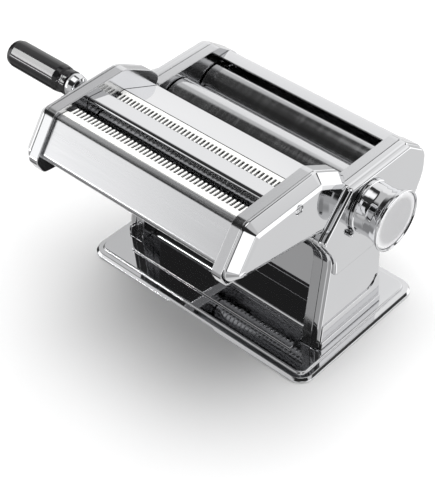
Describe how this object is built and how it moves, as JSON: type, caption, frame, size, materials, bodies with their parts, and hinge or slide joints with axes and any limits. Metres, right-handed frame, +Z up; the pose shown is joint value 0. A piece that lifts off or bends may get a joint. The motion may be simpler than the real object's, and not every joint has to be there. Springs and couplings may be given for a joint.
{
  "type": "pasta roller machine",
  "caption": "Hand-cranked pasta machine: chromed stand with smooth rollers, a pull-and-turn thickness knob, a removable crank and a slide-on noodle cutter.",
  "frame": {"origin": "on the table under the centre of the base, at the flat underside of the clamp bracket", "axes": "+X towards the thickness knob, -Y towards the cutter, +Z up"},
  "size_m": [0.3074, 0.1983, 0.1664],
  "materials": {
    "polished_chrome": "mirror-polished chrome plate",
    "polished_steel": "fine polished steel",
    "plain_steel": "plain machined steel",
    "satin_disc": "satin light grey",
    "bearing_brass": "turned",
    "grip_plastic": "glossy black",
    "scraper_plastic": "matt black",
    "comb_plastic": "smooth white",
    "foot_rubber": "matt"
  },
  "bodies": {
    "stand": {"base_plate": "polished_chrome", "clamp_bracket": "plain_steel", "left_side_frame": "polished_steel", "right_side_frame": "polished_steel", "left_side_cover": "polished_chrome", "right_side_cover": "polished_chrome", "front_cover": "polished_chrome", "rear_hood": "polished_chrome", "front_scraper": "scraper_plastic", "rear_scraper": "scraper_plastic", "lower_tie_rod": "plain_steel", "rear_tie_rod": "plain_steel", "left_rear_bush": "bearing_brass", "right_rear_bush": "bearing_brass", "index_stud": "polished_chrome", "foot_front_left": "foot_rubber", "stand_screw_front_left": "plain_steel", "foot_front_right": "foot_rubber", "stand_screw_front_right": "plain_steel", "foot_back_left": "foot_rubber", "stand_screw_back_left": "plain_steel", "foot_back_right": "foot_rubber", "stand_screw_back_right": "plain_steel"},
    "roller_bearings": {"left_sliding_bearing": "bearing_brass", "right_sliding_bearing": "bearing_brass"},
    "front_roller": {"front_roller": "polished_steel", "front_roller_gear": "plain_steel"},
    "drive": {"rear_roller": "polished_steel", "rear_roller_gear": "plain_steel", "crank_socket": "plain_steel"},
    "crank": {"crank_rod": "polished_chrome", "grip_ferrule": "polished_chrome"},
    "crank_grip": {"crank_grip": "grip_plastic"},
    "selector": {"selector_shaft": "plain_steel", "knob_spring": "plain_steel"},
    "knob": {"knob_body": "polished_chrome", "knob_disc": "satin_disc"},
    "cutter": {"cutter_left_frame": "polished_steel", "cutter_right_frame": "polished_steel", "cutter_left_cover": "polished_chrome", "cutter_right_cover": "polished_chrome", "cutter_front_plate": "polished_chrome", "front_comb": "comb_plastic", "cutter_bridge": "polished_chrome", "rear_comb": "comb_plastic", "cutter_rear_plate": "polished_chrome", "cutter_tie_rod": "plain_steel", "cutter_left_screw": "polished_chrome", "cutter_right_screw": "polished_chrome"},
    "front_cutter_driven": {"front_cutter_driven_roller": "polished_steel", "front_cutter_driven_gear": "plain_steel", "front_cutter_socket": "plain_steel"},
    "front_cutter_idle": {"front_cutter_idle_roller": "polished_steel", "front_cutter_idle_gear": "plain_steel"},
    "rear_cutter_driven": {"rear_cutter_driven_roller": "polished_steel", "rear_cutter_driven_gear": "plain_steel", "rear_cutter_socket": "plain_steel"},
    "rear_cutter_idle": {"rear_cutter_idle_roller": "polished_steel", "rear_cutter_idle_gear": "plain_steel"}
  },
  "joints": [
    {"name": "crank_turn", "type": "hinge", "parent": "stand", "child": "drive", "pos_m": [0, 0.0439, 0.1066], "axis": [-1, 0, 0], "continuous": true},
    {"name": "crank_pull", "type": "slide", "parent": "drive", "child": "crank", "axis": [-1, 0, 0], "range_m": [0, 0.025]},
    {"name": "grip_spin", "type": "hinge", "parent": "crank", "child": "crank_grip", "pos_m": [-0.15, -0.046, 0.1298], "axis": [-1, 0, 0], "continuous": true},
    {"name": "gap_adjust", "type": "slide", "parent": "stand", "child": "roller_bearings", "axis": [0, 0.9845, -0.1754], "range_m": [0, 0.0024]},
    {"name": "front_roller_turn", "type": "hinge", "parent": "roller_bearings", "child": "front_roller", "pos_m": [0, 0.0046, 0.1136], "axis": [-1, 0, 0], "continuous": true},
    {"name": "knob_turn", "type": "hinge", "parent": "stand", "child": "selector", "pos_m": [0.1, 0.0046, 0.1136], "axis": [1, 0, 0], "range_deg": [0, 180]},
    {"name": "knob_pull", "type": "slide", "parent": "selector", "child": "knob", "axis": [1, 0, 0], "range_m": [0, 0.006], "stiffness_N_per_m": 900, "springref_m": -0.004, "deforming": ["knob_spring"]},
    {"name": "cutter_lift", "type": "slide", "parent": "stand", "child": "cutter", "axis": [0, 0.6577, 0.7533], "range_m": [0, 0.045]},
    {"name": "front_cutter_driven_turn", "type": "hinge", "parent": "cutter", "child": "front_cutter_driven", "pos_m": [0, -0.0793, 0.1415], "axis": [-1, 0, 0], "continuous": true},
    {"name": "front_cutter_idle_turn", "type": "hinge", "parent": "cutter", "child": "front_cutter_idle", "pos_m": [0, -0.0985, 0.1415], "axis": [-1, 0, 0], "continuous": true},
    {"name": "rear_cutter_driven_turn", "type": "hinge", "parent": "cutter", "child": "rear_cutter_driven", "pos_m": [0, -0.0402, 0.136], "axis": [-1, 0, 0], "continuous": true},
    {"name": "rear_cutter_idle_turn", "type": "hinge", "parent": "cutter", "child": "rear_cutter_idle", "pos_m": [0, -0.0595, 0.139], "axis": [-1, 0, 0], "continuous": true}
  ],
  "couplings": [
    {"joint": "front_roller_turn", "follows": "crank_turn", "ratio": -1},
    {"joint": "knob_turn", "follows": "gap_adjust", "rad_per_m": 1308},
    {"joint": "front_cutter_idle_turn", "follows": "front_cutter_driven_turn", "ratio": -1},
    {"joint": "rear_cutter_idle_turn", "follows": "rear_cutter_driven_turn", "ratio": -1}
  ]
}
